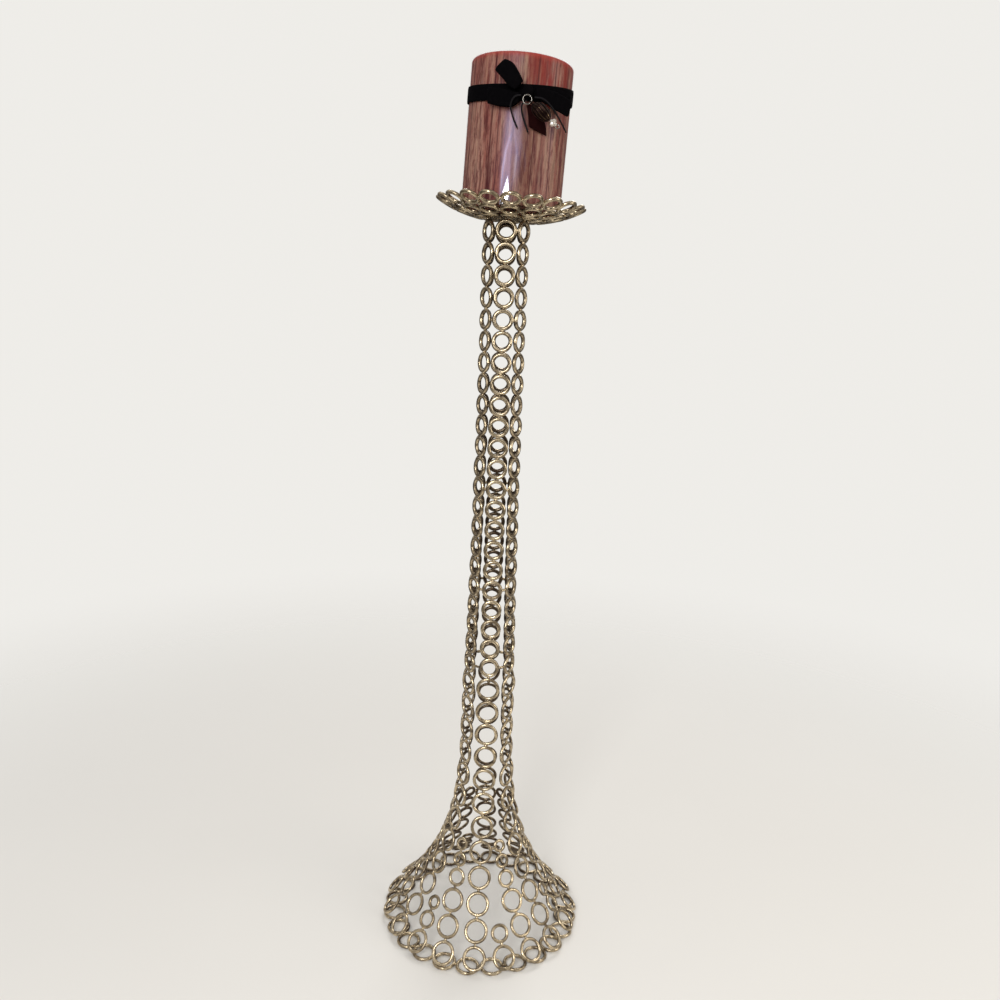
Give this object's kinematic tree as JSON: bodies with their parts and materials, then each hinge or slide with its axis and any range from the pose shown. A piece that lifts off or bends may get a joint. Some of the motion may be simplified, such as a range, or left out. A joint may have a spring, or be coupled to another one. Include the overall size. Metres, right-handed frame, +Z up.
{
  "type": "torchere candle stand",
  "caption": "Tall floor stand of welded wire rings, with a hexagonal column, a trumpet foot and a shallow ring dish that holds a wrapped pillar candle with a ribbon bow and a charm.",
  "frame": {"origin": "centre of the foot's outline, on the floor", "axes": "+Z up along the column, -Y towards the front, where the bow and charm are, +X to the right seen from the front"},
  "size_m": [0.2284, 0.2295, 0.9438],
  "materials": {
    "ring_metal": "aged champagne bronze, satin sheen",
    "wax": "mottled mauve and brown wax with dark red streaks",
    "wick": "waxed cotton",
    "clear_wrap": "clear shrink film",
    "black_velvet": "black velvet",
    "burgundy_velvet": "dark burgundy velvet",
    "black_cord": "thin black cord",
    "charm_wire": "bright wire",
    "bead_metal": "dark polished bronze",
    "cut_glass": "clear cut crystal"
  },
  "bodies": {
    "stand": {"column_stack_front": "ring_metal", "flare_leg_front": "ring_metal", "column_stack_front_right": "ring_metal", "flare_leg_front_right": "ring_metal", "column_stack_back_right": "ring_metal", "flare_leg_back_right": "ring_metal", "column_stack_back": "ring_metal", "flare_leg_back": "ring_metal", "column_stack_back_left": "ring_metal", "flare_leg_back_left": "ring_metal", "column_stack_front_left": "ring_metal", "flare_leg_front_left": "ring_metal", "flare_infill_right_of_front": "ring_metal", "foot_filler_right_of_front": "ring_metal", "flare_infill_right": "ring_metal", "foot_filler_right": "ring_metal", "flare_infill_right_of_back": "ring_metal", "foot_filler_right_of_back": "ring_metal", "flare_infill_left_of_back": "ring_metal", "foot_filler_left_of_back": "ring_metal", "flare_infill_left": "ring_metal", "foot_filler_left": "ring_metal", "flare_infill_left_of_front": "ring_metal", "foot_filler_left_of_front": "ring_metal", "foot_ring_row": "ring_metal", "dish_centre_rings": "ring_metal", "dish_inner_ring_row": "ring_metal", "dish_middle_ring_row": "ring_metal", "dish_outer_ring_row": "ring_metal"},
    "candle": {"candle_wax": "wax", "candle_wick": "wick", "candle_wrap": "clear_wrap", "ribbon_band": "black_velvet", "bow_knot": "black_velvet", "bow_loop_upper": "black_velvet", "bow_loop_right": "black_velvet", "bow_loop_left": "black_velvet", "ribbon_tail": "burgundy_velvet", "cord_tail_left": "black_cord", "cord_tail_middle": "black_cord", "cord_tail_right": "black_cord", "charm_ring": "charm_wire"},
    "charm": {"charm_bead": "bead_metal", "charm_crystals": "cut_glass", "charm_end_ring": "charm_wire"}
  },
  "joints": [
    {"name": "candle_lift", "type": "slide", "parent": "stand", "child": "candle", "axis": [0.0488, 0, 0.9988], "range_m": [0, 0.15]},
    {"name": "charm_swing", "type": "hinge", "parent": "candle", "child": "charm", "pos_m": [0.01493, -0.0665, 0.88874], "axis": [0, 1, 0], "range_deg": [-10, 90]}
  ]
}
